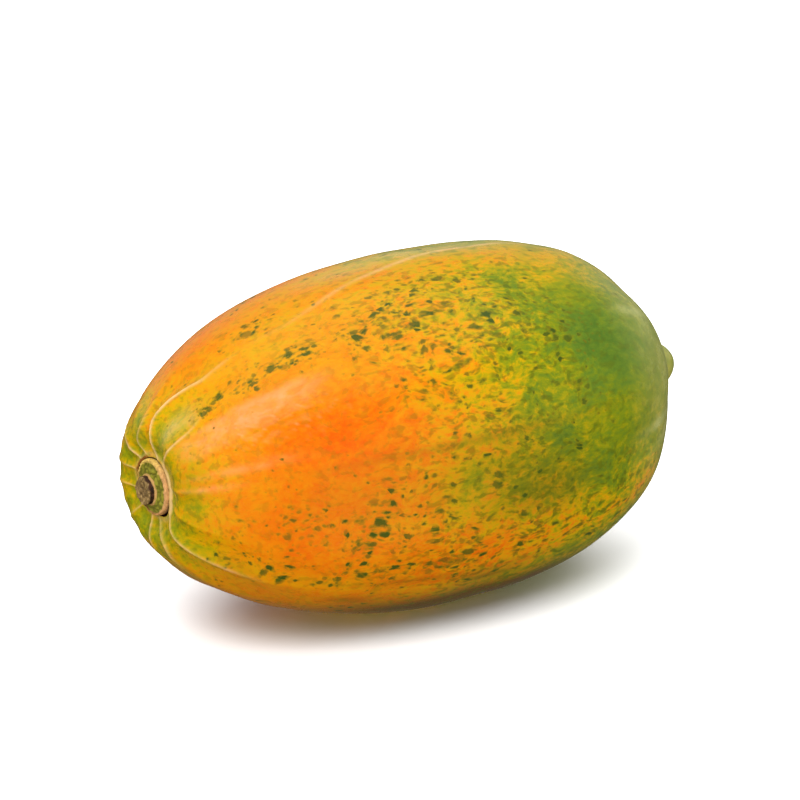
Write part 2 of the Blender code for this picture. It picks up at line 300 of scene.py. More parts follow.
def rib_relief(run, around, radius):
    """The furrows between the ribs and the pale line on each rib.

    Between the rib behind and the rib ahead the skin sinks by a power of half a sine wave.
    A crest is a bell curve of the distance over the skin to the rib's course. Returns the
    furrow as a share of its depth, the crest, the line's strength, and the distance to the
    nearest line in half widths, from which the material draws the line.
    """
    behind = np.full(np.broadcast(run, around).shape, 2 * math.pi)
    ahead = behind.copy()
    nearest = behind.copy()
    reach = np.zeros_like(behind)
    crest = np.zeros_like(behind)
    line = np.zeros_like(behind)
    offset = np.zeros_like(behind)
    for rib_reach, (strength, half_width, length, far_strength), course in RIBS:
        angle = course_angle(course, run)
        half_width = half_width * (1 + (FAR_LINE_WIDENS - 1) * smooth_step(*LINE_WIDENS, run / length))
        back = (around - angle) % (2 * math.pi)
        behind = np.minimum(behind, back)
        ahead = np.minimum(ahead, 2 * math.pi - back)
        aside = apart(around, angle)
        reach = np.maximum(reach, np.exp(-(aside / FURROW_BREADTH) ** 2) * rib_reach)
        gap = aside * radius
        fading = strength * (1 - smooth_step(*LINE_FADES, run / length))
        far_part = smooth_step(*FAR_LINE_BEGINS, run) * (1 - smooth_step(*FAR_LINE_ENDS, run))
        fading = np.maximum(fading, far_strength * far_part)
        crest = np.maximum(crest, fading * np.exp(-(gap / CREST_WIDTH) ** 2))
        closer = np.abs(gap) < nearest
        nearest = np.where(closer, np.abs(gap), nearest)
        offset = np.where(closer, gap / half_width, offset)
        near = 1 - smooth_step(*LINE_CUT_OFF, np.abs(gap) / half_width)
        line = np.where(closer, fading * near, line)
    share = behind / (behind + ahead)
    start = smooth_step(SEAT_RADIUS, FURROW_BEGINS * SEAT_RADIUS, run)
    fade = 1 - smooth_step(*FURROW_FADES, run / reach)
    furrow = start * fade * np.sin(math.pi * share) ** FURROW_ROUND
    begun = smooth_step(SEAT_RADIUS, LINE_BEGINS * SEAT_RADIUS, run)
    return furrow, crest * begun, line * begun, offset


def plain_skin(along, around):
    """The skin without its relief: the lobed profile, basin, shoulder, tip and nub."""
    cosine = np.cos(along)
    radius = profile(along) * lobe_factor(along, around)
    radius = radius * (1 + OVAL * np.cos(2 * around) + UNEVEN * np.cos(3 * (around - UNEVEN_AT)))
    basin = BASIN_DEPTH * np.exp(-(np.maximum(radius - SEAT_RADIUS, 0) / BASIN_SPREAD) ** 2)
    shoulder = SHOULDER_RISE * np.exp(-((radius - SHOULDER_RADIUS) / SHOULDER_SPREAD) ** 2)
    tip = TIP_RISE * np.exp(-(radius / TIP_SPREAD) ** 2)
    nub = NUB_RISE * np.clip(1 - (radius / NUB_RADIUS) ** 2, 0, 1) ** NUB_STEEPNESS
    x = -BODY_LENGTH / 2 * cosine + np.where(cosine > 0, basin - shoulder, tip + nub)
    y = radius * np.cos(around)
    z = radius * np.sin(around) + TIP_LIFT * np.clip(-cosine, 0, 1) ** 3
    return np.stack([x, y, z])


def outward(along, around):
    """Unit normals of the ellipsoid that the fruit is close to, used to raise relief along."""
    normal = np.stack([-np.cos(along) / (BODY_LENGTH / 2) + 0 * around,
                       np.sin(along) * np.cos(around) / BODY_RADIUS,
                       np.sin(along) * np.sin(around) / BODY_RADIUS])
    return normal / np.linalg.norm(normal, axis=0)


def tipped(points):
    """Turns the fruit's own frame so that the blossom end is up by PITCH."""
    x, y, z = points
    return np.stack([x * math.cos(PITCH) - z * math.sin(PITCH), y,
                     x * math.sin(PITCH) + z * math.cos(PITCH)])


# Where the fruit lies: the plain skin is fitted to the solid's box
fruit_low, fruit_high = (np.array(corner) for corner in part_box("papaya_fruit"))
coarse_along = np.linspace(0.01, math.pi, 300)[:, None]
coarse_around = np.linspace(0, 2 * math.pi, 361)[None, :]
coarse = tipped(plain_skin(coarse_along, coarse_around)).reshape(3, -1)
REST = np.array([fruit_high[0] - coarse[0].max(),
                 (fruit_low[1] + fruit_high[1] - coarse[1].min() - coarse[1].max()) / 2,
                 fruit_low[2] - coarse[2].min() - PRESSED])


def laid_down(points):
    """The fruit's own frame turned and moved to where it lies, pressed flat on the floor."""
    x, y, z = tipped(points)
    return np.stack([x + REST[0], y + REST[1], np.maximum(z + REST[2], fruit_low[2])])


def closed_grid(name, points, fields):
    """A closed mesh from a grid of points with a pole at each end.

    The grid's rows follow each other along the piece and its columns go round it, so a
    quad joins each point to the next row and column, and a fan of triangles joins each
    end row to the mean of its points. Fields are numbers kept at each point.
    """
    rows, columns = points.shape[1:]
    with_poles = [np.vstack([grid[:1].mean(axis=1, keepdims=True).reshape(1, 1),
                             grid.reshape(-1, 1), grid[-1:].mean(axis=1, keepdims=True).reshape(1, 1)])
                  for grid in (*points, *fields.values())]
    index = 1 + np.arange(rows * columns).reshape(rows, columns)
    beside = np.roll(index, -1, axis=1)
    quads = np.stack([index[:-1], beside[:-1], beside[1:], index[1:]], axis=-1).reshape(-1, 4)
    first = np.stack([beside[0], index[0], np.zeros(columns, int)], axis=-1)
    last = np.stack([index[-1], beside[-1], np.full(columns, rows * columns + 1)], axis=-1)
    mesh = bpy.data.meshes.new(name)
    mesh.from_pydata(np.hstack(with_poles[:3]).tolist(), [],
                     quads.tolist() + first.tolist() + last.tolist())
    for field, values in zip(fields, with_poles[3:]):
        mesh.attributes.new(field, "FLOAT", "POINT").data.foreach_set("value", values.ravel())
    mesh.shade_smooth()
    piece = bpy.data.objects.new(name, mesh)
    bpy.context.scene.collection.objects.link(piece)
    return piece


# The grid over the skin, from the mouth of the crevice, with rows that crowd towards both ends
around = np.linspace(0, 2 * math.pi, COLUMNS, endpoint=False)[None, :]
mouth = SEAT_RADIUS + sum(width * np.exp(-(apart(around, math.radians(angle)) / breadth) ** 2)
                          for width, angle, breadth in GAPES)
spread = np.linspace(0, 1, SKIN_ROWS, endpoint=False)[:, None]
spread = spread - ROW_GATHERING / (2 * math.pi) * np.sin(2 * math.pi * spread)
run = mouth + (WHOLE_RUN - mouth) * spread
along = np.interp(run, PROFILE_RUN, PROFILE_STEPS)
way = run / WHOLE_RUN


def patch(centre, angle, half_length, half_width):
    """A patch of the skin: a bell curve along it times one round it, 1 at the centre."""
    return np.exp(-((way - centre) / half_length) ** 2 - (apart(around, angle) / half_width) ** 2)


def patched(patches):
    """The sum of patches whose angles are in degrees, each times its weight."""
    return sum(weight * patch(centre, math.radians(angle), half_length, math.radians(half_width))
               for centre, angle, half_length, half_width, weight in patches)


furrow, crest, line, offset = rib_relief(run, around, profile(along))
bare = plain_skin(along, around)
leaning = bare * np.array([WRINKLE_LEAN, 1.0, 1.0])[:, None, None]
wrinkle = 1 - np.abs(ripples(leaning, WRINKLE_LENGTH, seed=4)) ** WRINKLE_SHARPNESS
relief = (CREST_HEIGHT * crest - FURROW_DEPTH * furrow + SWELL_HEIGHT * ripples(bare, SWELL_LENGTH, seed=2)
          + WRINKLE_HEIGHT * patch(*SLACK) * wrinkle)
skin_points = bare + relief * outward(along, around)

# The socket: a flat floor, a wall, and a lip that rolls over onto the skin
lip_points = skin_points[:, :1]
floor_x = -BODY_LENGTH / 2 + BASIN_DEPTH + SOCKET_DEPTH
rings = [np.stack([np.full_like(around, floor_x), share * mouth * np.cos(around),
                   share * mouth * np.sin(around)]) for share in FLOOR_RINGS]
for height, share in WALL_RINGS:
    wall = lip_points * share
    wall[0] = lip_points[0] * height + floor_x * (1 - height)
    rings.append(wall)
socket = np.concatenate(rings, axis=1)
fruit_points = laid_down(np.concatenate([socket, skin_points], axis=1))
fruit_points = np.clip(fruit_points, fruit_low[:, None, None], fruit_high[:, None, None])


def onto_rows(field, in_socket=0.0):
    """Adds the socket's rows, at one value, in front of a field of the skin."""
    return np.concatenate([np.full((socket.shape[1], COLUMNS), in_socket), field])


beyond = run - mouth
near_lip = 1 - smooth_step(*LIP_SIDE, np.abs(apart(around, LIP_MIDDLE)))
lip = (LIP_FAINTEST + (1 - LIP_FAINTEST) * near_lip) * np.exp(
    -((beyond - LIP_FROM_MOUTH) / LIP_WIDTH) ** 2)
stain_side = np.exp(-(apart(around, STAIN_MIDDLE) / STAIN_BREADTH) ** 2)
stain = stain_side * (1 - smooth_step(*STAIN_ENDS, beyond))

ripeness = np.interp(way, *zip(*RIPENESS_ALONG)) + patched(RIPENESS_PATCHES)
ripeness = ripeness - FURROW_GREEN * furrow * (1 - smooth_step(*FURROW_GREEN_ENDS, way))
mottle = np.interp(way, *zip(*MOTTLE_ALONG)) + patched(MOTTLE_PATCHES)
specks = (SPECK_GROUND + patched(SPECK_PATCHES)) * smooth_step(*SPECKS_BEGIN, way)
specks = specks * (1 - SPECKS_LOST * smooth_step(*SPECKS_THIN_OUT, way))

degrees = np.degrees(around)
climbed = degrees + BLOOM_SHEEN_CLIMB * np.maximum(way - BLOOM_SHEEN_BEGINS[0], 0)
bloom_sheen = (smooth_step(*BLOOM_SHEEN_BEGINS, way) * (1 - smooth_step(*BLOOM_SHEEN_ENDS, way))
         * smooth_step(*BLOOM_SHEEN_UPPER_EDGE, degrees) * (1 - smooth_step(*BLOOM_SHEEN_LOWER_EDGE, climbed)))
highlit_creases = CREASE_HIGHLIGHT * smooth_step(*CREASE_HEIGHTS, wrinkle) * patch(*HIGHLIT_CREASES)
wax_and_sheen_sides = WAX_AND_SHEEN_EVERYWHERE + WAX_AND_SHEEN_NEAR_SIDE * np.exp(-(apart(around, WAX_AND_SHEEN_MIDDLE) / WAX_AND_SHEEN_BREADTH) ** 2)
wax_and_sheen = wax_and_sheen_sides * smooth_step(*WAX_AND_SHEEN_GROWS, way) + patched(WAX_AND_SHEEN_PATCHES)
fruit = closed_grid("papaya_skin", fruit_points, {
    "ripeness": onto_rows(ripeness, SOCKET_RIPENESS),
    "mottle": onto_rows(mottle),
    "specks": onto_rows(specks),
    "olive_brown_and_shade": onto_rows(np.clip(patched(OLIVE_BROWN_AND_SHADE_PATCHES), 0, 1)),
    "scuff_and_highlight": onto_rows(np.clip(BLOOM_SHEEN * bloom_sheen + patched(BLOOM_AND_HIGHLIGHT_PATCHES) + highlit_creases, 0, 1)),
    "wax_and_sheen": onto_rows(np.clip(wax_and_sheen, 0, WAX_AND_SHEEN_LIMIT)),
    "line": onto_rows(line),
    "offset": onto_rows(offset),
    "lip": onto_rows(lip),
    "stain": onto_rows(stain),
    "socket": onto_rows(np.zeros_like(way), 1.0),
    "flow": onto_rows(run),
})


def linear(hex_code):
    """An sRGB hex colour as the linear numbers that a shader takes."""
    parts = [int(hex_code[place:place + 2], 16) / 255 for place in (1, 3, 5)]
    return tuple(part / 12.92 if part <= 0.04045 else ((part + 0.055) / 1.055) ** 2.4
                 for part in parts) + (1.0,)


def add(tree, kind, inputs=(), stops=(), **settings):
    """Adds a node: settings by name, inputs as values or as outputs to link, stops on a ramp.

    Inputs are by name or number. Those of a Map Range are 0 its value, 1 and 2 where the value
    starts and ends, and 3 and 4 where the result does. Those of a Mix of colours are 0 its
    share, 6 the colour below and 7 the one laid over it.
    """
    item = tree.nodes.new(kind)
    for name, value in settings.items():
        setattr(item, name, value)
    for name, value in dict(inputs).items():
        if isinstance(value, bpy.types.NodeSocket):
            tree.links.new(value, item.inputs[name])
        else:
            item.inputs[name].default_value = value
    for place, (position, hex_code) in enumerate(stops):
        elements = item.color_ramp.elements
        stop = elements[place] if place < 2 else elements.new(position)
        stop.position = position
        stop.color = linear(hex_code)
    return item


# Waxy fruit skin: chlorophyll green that has partly turned, under a thin natural wax with a soft gloss.
# Its blotches, flecks, stipple and specks lie in a grain, which is drawn out along the fruit by one over
# its pull and wanders a little, and the streaks of scuffed bloom and painted highlight in one of their own.
GRAIN_PULL = 0.62
GRAIN_WANDERS = 0.006
STREAK_PULL = 0.20
STREAKS_WANDER = 0.004
WANDER_SIZE = 0.01429
BLOTCH_SIZE = 0.005882
FLECK_SIZE = 0.001923
STIPPLE_SIZE = 0.002326
STREAK_SIZE = 0.003333
CLUSTER_SIZE = 0.0125           # clusters of specks
RAGGED_SIZE = 0.001111          # ragged edges of specks and of the stain
PORE_SIZE = 0.000714
PORE_DEPTH = 0.00012
WAX_ROUGHNESS = (0.22, 0.30)
WAX_IOR = 1.40
WAX_SPECULAR = 0.13

# Colours from green to the deepest orange, then those that lie over them
RIPENING = (
    (0.02, "#48641A"), (0.16, "#58701A"), (0.30, "#6E7A0E"), (0.42, "#8A8608"), (0.52, "#AA8E02"),
    (0.60, "#C09002"), (0.70, "#CA8404"), (0.80, "#CE7402"), (0.90, "#CE6400"), (1.0, "#CC5200"),
)
# olive brown of streaks, and painted shade on the lower side
OLIVE_BROWN_AND_SHADE = "#5C400A"
OLIVE_STIPPLE = "#525808"
# grey of wax bloom and of painted sheen
GREY_WAX_AND_SHEEN = "#ACAC6A"
# pinkish pale of scuffed bloom and of painted highlight
SCUFFED_BLOOM_AND_HIGHLIGHT = "#E98F56"
LINE_BORDER = "#5E5A14"
# cream of the rib lines, partly painted highlight on their crests
PALE_LINE_AND_GLINT = "#E8BE86"
LIP_SCAR = "#D8B478"
LATEX_STAIN = "#6E2A0C"
# painted shade in the socket round the stalk
SOCKET_PAINTED_SHADE = "#3A1C0C"

# Faint brown dots all over, then dark green specks in two sizes: the spacing of their cells, the
# smallest and largest speck as shares of a cell, how readily a cell holds one, and the colour
# and strength of its halo and of its core
BROWN_DOTS = (("#7A6A0C", 0.40), ("#5C580C", 0.60))
GREEN_SPECKS = (("#7C6E0C", 0.55), ("#2F4410", 0.95))
SPECK_LAYERS = (
    (0.001786, 0.06, 0.30, 1.9, *BROWN_DOTS),
    (0.0025, 0.12, 0.38, 1.3, *GREEN_SPECKS),
    (0.003704, 0.14, 0.38, 1.3, *GREEN_SPECKS),
)
HALO_EDGE = (0.06, 0.40)
CORE_EDGE = (0.22, 0.44)

skin = bpy.data.materials.new("ripening waxy skin")
skin.use_nodes = True
tree = skin.node_tree
shader = tree.nodes["Principled BSDF"]

field = {name: add(tree, "ShaderNodeAttribute", attribute_name=name).outputs["Fac"]
         for name in ("ripeness", "mottle", "specks", "olive_brown_and_shade", "scuff_and_highlight", "wax_and_sheen", "line", "offset", "lip",
                      "stain", "socket", "flow")}
place = add(tree, "ShaderNodeTexCoord").outputs["Object"]
split = add(tree, "ShaderNodeSeparateXYZ", {0: place})
grain_run = add(tree, "ShaderNodeMath", {0: field["flow"], 1: GRAIN_PULL}, operation="MULTIPLY").outputs[0]
grain = add(tree, "ShaderNodeCombineXYZ",
            {0: grain_run, 1: split.outputs[1], 2: split.outputs[2]}).outputs[0]
drift = add(tree, "ShaderNodeTexNoise", {"Vector": place, "Scale": 1 / WANDER_SIZE,
                                         "Detail": 2.0}).outputs["Color"]
drift = add(tree, "ShaderNodeVectorMath", {0: drift, 1: (0.5, 0.5, 0.5)}, operation="SUBTRACT").outputs[0]
grain = add(tree, "ShaderNodeVectorMath", {0: drift, 1: [GRAIN_WANDERS] * 3, 2: grain},
            operation="MULTIPLY_ADD").outputs[0]

cloud = add(tree, "ShaderNodeTexNoise", {"Vector": grain, "Scale": 1 / BLOTCH_SIZE, "Detail": 5.0,
                                         "Roughness": 0.66}).outputs["Fac"]
blotch = add(tree, "ShaderNodeMapRange", {0: cloud, 1: 0.39, 2: 0.61, 3: -0.28, 4: 0.12},
             interpolation_type="SMOOTHSTEP").outputs[0]
fleck = add(tree, "ShaderNodeTexNoise", {"Vector": grain, "Scale": 1 / FLECK_SIZE, "Detail": 3.0,
                                         "Roughness": 0.60}).outputs["Fac"]
fleck_part = add(tree, "ShaderNodeMapRange", {0: fleck, 1: 0.28, 2: 0.72, 3: -0.50, 4: 0.26}).outputs[0]
both = add(tree, "ShaderNodeMath", {0: blotch, 1: fleck_part}, operation="ADD").outputs[0]
broken = add(tree, "ShaderNodeMath", {0: both, 1: field["mottle"], 2: field["ripeness"]},
             operation="MULTIPLY_ADD").outputs[0]
ground = add(tree, "ShaderNodeValToRGB", {0: broken}, stops=RIPENING).outputs[0]
# Olive brown over the ground: real streaks, and painted shade on the lower side
layers = add(tree, "ShaderNodeMix", {0: field["olive_brown_and_shade"], 6: ground, 7: linear(OLIVE_BROWN_AND_SHADE)},
             data_type="RGBA").outputs[2]

# Half turned skin is stippled with olive; the blossom end is greyed by wax bloom and by a painted
# sheen of reflected light; and a scuffed bloom with a painted highlight lies in streaks on the ripest side
greyness = add(tree, "ShaderNodeMapRange", {0: cloud, 1: 0.36, 2: 0.62, 3: 0.26, 4: 0.52}).outputs[0]
greyed = add(tree, "ShaderNodeMath", {0: field["wax_and_sheen"], 1: greyness}, operation="MULTIPLY").outputs[0]
stipple = add(tree, "ShaderNodeTexNoise", {"Vector": grain, "Scale": 1 / STIPPLE_SIZE,
                                           "Detail": 2.0}).outputs["Fac"]
stipple = add(tree, "ShaderNodeMapRange", {0: stipple, 1: 0.51, 2: 0.66, 3: 0.0, 4: 1.5},
              interpolation_type="SMOOTHSTEP").outputs[0]
stipple = add(tree, "ShaderNodeMath", {0: stipple, 1: field["mottle"]}, operation="MULTIPLY").outputs[0]
streak_run = add(tree, "ShaderNodeMath", {0: field["flow"], 1: STREAK_PULL}, operation="MULTIPLY").outputs[0]
streaks = add(tree, "ShaderNodeCombineXYZ",
              {0: streak_run, 1: split.outputs[1], 2: split.outputs[2]}).outputs[0]
streaks = add(tree, "ShaderNodeVectorMath", {0: drift, 1: [STREAKS_WANDER] * 3, 2: streaks},
              operation="MULTIPLY_ADD").outputs[0]
streaks = add(tree, "ShaderNodeTexNoise", {"Vector": streaks, "Scale": 1 / STREAK_SIZE,
                                           "Detail": 3.0}).outputs["Fac"]
streaks = add(tree, "ShaderNodeMapRange", {0: streaks, 1: 0.40, 2: 0.62, 3: 0.28, 4: 0.80}).outputs[0]
streaks = add(tree, "ShaderNodeMath", {0: streaks, 1: field["scuff_and_highlight"]}, operation="MULTIPLY").outputs[0]
for mask, hex_code in ((stipple, OLIVE_STIPPLE), (greyed, GREY_WAX_AND_SHEEN), (streaks, SCUFFED_BLOOM_AND_HIGHLIGHT)):
    layers = add(tree, "ShaderNodeMix", {0: mask, 6: layers, 7: linear(hex_code)},
                 data_type="RGBA").outputs[2]

# Specks: a cell of each layer holds one where its own chance is below the density there, and
# the further below, the larger the speck
gather = add(tree, "ShaderNodeTexNoise", {"Vector": place, "Scale": 1 / CLUSTER_SIZE,
                                          "Detail": 2.0}).outputs["Fac"]
gather = add(tree, "ShaderNodeMapRange", {0: gather, 1: 0.36, 2: 0.62, 3: 0.40, 4: 1.6}).outputs[0]
density = add(tree, "ShaderNodeMath", {0: field["specks"], 1: gather}, operation="MULTIPLY").outputs[0]
ragged = add(tree, "ShaderNodeTexNoise", {"Vector": grain, "Scale": 1 / RAGGED_SIZE,
                                          "Detail": 2.0}).outputs["Fac"]
for spacing, smallest, largest, readiness, halo, core in SPECK_LAYERS:
    cell = add(tree, "ShaderNodeTexVoronoi", {"Vector": grain, "Scale": 1 / spacing, "Randomness": 1.0})
    chances = add(tree, "ShaderNodeSeparateColor", {0: cell.outputs["Color"]}).outputs
    presence = add(tree, "ShaderNodeMapRange", {0: chances[1], 3: 0.35, 4: 1.0}).outputs[0]
    chosen = add(tree, "ShaderNodeMath", {0: density, 1: readiness}, operation="MULTIPLY").outputs[0]
    chosen = add(tree, "ShaderNodeMath", {0: chosen, 1: chances[0]}, operation="SUBTRACT").outputs[0]
    present = add(tree, "ShaderNodeMath", {0: chosen, 1: 0.0}, operation="GREATER_THAN").outputs[0]
    present = add(tree, "ShaderNodeMath", {0: present, 1: presence}, operation="MULTIPLY").outputs[0]
    size = add(tree, "ShaderNodeMapRange", {0: chosen, 1: 0.0, 2: 0.35, 3: smallest, 4: largest}).outputs[0]
    rough_size = add(tree, "ShaderNodeMath", {0: ragged, 1: 0.6, 2: size},
                     operation="MULTIPLY_ADD").outputs[0]
    inside = add(tree, "ShaderNodeMath", {0: rough_size, 1: cell.outputs["Distance"]},
                 operation="SUBTRACT").outputs[0]
    for edge, (hex_code, strength) in ((HALO_EDGE, halo), (CORE_EDGE, core)):
        mask = add(tree, "ShaderNodeMapRange", {0: inside, 1: edge[0], 2: edge[1], 3: 0.0, 4: strength},
                   interpolation_type="SMOOTHSTEP").outputs[0]
        mask = add(tree, "ShaderNodeMath", {0: mask, 1: present}, operation="MULTIPLY").outputs[0]
        layers = add(tree, "ShaderNodeMix", {0: mask, 6: layers, 7: linear(hex_code)},
                     data_type="RGBA").outputs[2]

# The pale line on a rib, ridge tissue with a painted highlight along its crest, is a bell curve of its
# offset, inside a wider olive border
squared = add(tree, "ShaderNodeMath", {0: field["offset"], 1: field["offset"]},
              operation="MULTIPLY").outputs[0]
patchy = add(tree, "ShaderNodeMapRange", {0: cloud, 1: 0.36, 2: 0.60, 3: 0.45, 4: 1.0}).outputs[0]
drawn_line = add(tree, "ShaderNodeMath", {0: field["line"], 1: patchy}, operation="MULTIPLY").outputs[0]
for narrowing, weight, hex_code in ((-0.16, 0.24, LINE_BORDER), (-1.0, 0.95, PALE_LINE_AND_GLINT)):
    power = add(tree, "ShaderNodeMath", {0: squared, 1: narrowing}, operation="MULTIPLY").outputs[0]
    bell = add(tree, "ShaderNodeMath", {0: power}, operation="EXPONENT").outputs[0]
    drawn = add(tree, "ShaderNodeMath", {0: bell, 1: drawn_line}, operation="MULTIPLY").outputs[0]
    mask = add(tree, "ShaderNodeMath", {0: drawn, 1: weight}, operation="MULTIPLY").outputs[0]
    layers = add(tree, "ShaderNodeMix", {0: mask, 6: layers, 7: linear(hex_code)},
                 data_type="RGBA").outputs[2]

# The lip's pale scar tissue, the brown stain of dried latex, and painted shade over the socket's floor and
# wall
uneven = add(tree, "ShaderNodeMath", {0: ragged, 1: 0.5}, operation="SUBTRACT").outputs[0]
spilt = add(tree, "ShaderNodeMath", {0: uneven, 1: 0.9, 2: field["stain"]},
            operation="MULTIPLY_ADD").outputs[0]
spilt = add(tree, "ShaderNodeMapRange", {0: spilt, 1: 0.35, 2: 0.75, 3: 0.0, 4: 0.85}).outputs[0]
for mask, hex_code in ((field["lip"], LIP_SCAR), (spilt, LATEX_STAIN), (field["socket"], SOCKET_PAINTED_SHADE)):
    layers = add(tree, "ShaderNodeMix", {0: mask, 6: layers, 7: linear(hex_code)},
                 data_type="RGBA").outputs[2]
tree.links.new(layers, shader.inputs["Base Color"])

pore = add(tree, "ShaderNodeTexNoise", {"Vector": place, "Scale": 1 / PORE_SIZE,
                                        "Detail": 3.0}).outputs["Fac"]
gloss = add(tree, "ShaderNodeMapRange",
            {0: cloud, 1: 0.3, 2: 0.7, 3: WAX_ROUGHNESS[0], 4: WAX_ROUGHNESS[1]}).outputs[0]
tree.links.new(gloss, shader.inputs["Roughness"])
bump = add(tree, "ShaderNodeBump", {"Height": pore, "Strength": 0.35, "Distance": PORE_DEPTH})
tree.links.new(bump.outputs[0], shader.inputs["Normal"])
shader.inputs["IOR"].default_value = WAX_IOR
shader.inputs["Specular IOR Level"].default_value = WAX_SPECULAR

fruit.data.materials.append(skin)
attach(fruit, "root")
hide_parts("papaya_fruit")


# Remnant of the stalk
# A corky collar, the bumpy green disc inside it and the dried stub of the stalk, which snapped
# off and browned. The collar sits in the socket, and the stub stands aside of its middle.
STUB_PROFILE = (                # radius and height over the collar's rim, in millimetres
    (0.0, 1.6), (2.6, 1.7), (4.4, 2.1), (5.0, 1.85), (5.0, 0.8), (4.95, -0.1), (5.35, -0.25), (5.8, -0.75),
    (7.4, -0.65), (8.9, -0.6), (9.3, 0.0), (9.7, 0.2), (10.05, -0.05), (10.2, -0.8), (10.2, -1.8),
    (10.2, -3.0), (9.6, -3.0), (5.0, -3.0), (0.0, -3.0),
)
STUB_RADIUS = 0.0052
STUB_ASIDE = (0.0036, -0.0022)  # along Y and Z
COLLAR_RADIUS = 0.0102
CORNER_CUTS = 2
STUB_ROWS = 150
STUB_COLUMNS = 160

# Radii between which one part gives way to the next, and heights for what can be seen of them
STUB_ENDS = (0.0050, 0.0052)
BASE_ENDS = (0.0055, 0.0058)
DISC_BEGINS = (0.0055, 0.0059)
DISC_ENDS = (0.0088, 0.0093)
IN_SIGHT = (-0.0022, -0.0008)
CAP_BEGINS = (0.0012, 0.0019)

# The stub is a little squarish and fluted: share of its radius, waves round it, and their phase.
# Bumps on the disc, the stub and the cork are (height, length), and those on the disc need room
# beside the stub.
STUB_WAVES = ((0.03, 4, 0.6), (0.025, 3, 2.0), (0.012, 11, 0.0), (0.010, 17, 1.0))
DISC_KNOBS = (0.00036, 0.0026)
STUB_BUMPS = (0.00016, 0.0022)
CORK_BUMPS = (0.00014, 0.0016)
STUB_CROWDS = 0.8
KNOBS_BEGIN = (0.3, 1.1)
UPPER_SIDE = (-0.5, 0.7)        # sines of the angle between which the upper side begins
NEAR_SIDE = (0.0, 1.0)


def rounded(corners, rounds):
    """Cuts each corner of an open line a quarter of the way along its sides, several times."""
    line = np.array(corners, float)
    for _ in range(rounds):
        near = 0.75 * line[:-1] + 0.25 * line[1:]
        far = 0.25 * line[:-1] + 0.75 * line[1:]
        line = np.concatenate([line[:1], np.stack([near, far], 1).reshape(-1, 2), line[-1:]])
    return line


# A turned form whose rings move from the stub's middle to the collar's as they widen
outline = rounded(STUB_PROFILE, CORNER_CUTS) / 1000
lengths = np.concatenate([[0], np.cumsum(np.hypot(*np.diff(outline, axis=0).T))])
even = np.linspace(0, lengths[-1], STUB_ROWS + 2)[1:-1]
stub_radius = np.interp(even, lengths, outline[:, 0])[:, None]
stub_height = np.interp(even, lengths, outline[:, 1])[:, None]
turn = np.linspace(0, 2 * math.pi, STUB_COLUMNS, endpoint=False)[None, :]
on_stub = 1 - smooth_step(*STUB_ENDS, stub_radius)
on_base = smooth_step(*STUB_ENDS, stub_radius) * (1 - smooth_step(*BASE_ENDS, stub_radius))
on_disc = smooth_step(*DISC_BEGINS, stub_radius) * (1 - smooth_step(*DISC_ENDS, stub_radius))
on_top = smooth_step(*IN_SIGHT, stub_height)

aside = np.clip((COLLAR_RADIUS - stub_radius) / (COLLAR_RADIUS - STUB_RADIUS), 0, 1) * on_top
fluted = 1 + on_stub * sum(share * np.cos(waves * turn + phase) for share, waves, phase in STUB_WAVES)
ring_y = stub_radius * fluted * np.cos(turn) + STUB_ASIDE[0] * aside
ring_z = stub_radius * fluted * np.sin(turn) + STUB_ASIDE[1] * aside
flat_place = np.stack([ring_y, ring_z, stub_height + 0 * turn])
knobby = np.abs(ripples(flat_place, DISC_KNOBS[1], seed=9))
towards_stub = np.cos(turn - math.atan2(STUB_ASIDE[1], STUB_ASIDE[0]))
room = smooth_step(*KNOBS_BEGIN, 1 - STUB_CROWDS * towards_stub)
rises = on_top * (DISC_KNOBS[0] * on_disc * room * knobby
                  + STUB_BUMPS[0] * on_stub * ripples(flat_place, STUB_BUMPS[1], seed=12)
                  + CORK_BUMPS[0] * (1 - on_stub - on_disc) * ripples(flat_place, CORK_BUMPS[1], seed=15))
rim_x = -BODY_LENGTH / 2 + BASIN_DEPTH
stub_points = laid_down(np.stack([rim_x - stub_height - rises, ring_y, ring_z]))
stub_low, stub_high = (np.array(corner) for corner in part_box("stem_stub"))
stub_points = np.clip(stub_points, stub_low[:, None, None], stub_high[:, None, None])
stub = closed_grid("stalk_remnant", stub_points, {
    "cap": on_stub * smooth_step(*CAP_BEGINS, stub_height) + 0 * turn,
    "wall": on_stub * on_top + 0 * turn,
    "base": on_base * on_top + 0 * turn,
    "disc": on_disc * on_top + 0 * turn,
    "low": 1 - on_top + 0 * turn,
    "knob": np.clip(knobby, 0, 2) / 2,
    "upper": smooth_step(*UPPER_SIDE, np.sin(turn)) + 0 * stub_radius,
    "near": smooth_step(*NEAR_SIDE, -np.cos(turn)) + 0 * stub_radius,
})

# Dry cork and dead wood, rough and matt: the collar is tan below and on the near side and painted
# lighter cream on top, as lit from above; the disc is still green, and the stub has a dark side,
# partly painted shade, and a lighter cut end
CORK_GRAIN = 0.001111
CORK_DEPTH = 0.0003
CORK_ROUGHNESS = 0.7
CORK_SPECULAR = 0.3
CORK_BELOW = "#A4713C"
# painted light: the collar's top as lit from above
CORK_LIT_ABOVE = "#E2BC5C"
CORK_NEAR = "#D09A60"
CORK_CREVICES = "#7A5226"
DISC_GREEN = ((0.0, "#5E5A12"), (0.6, "#86801E"))
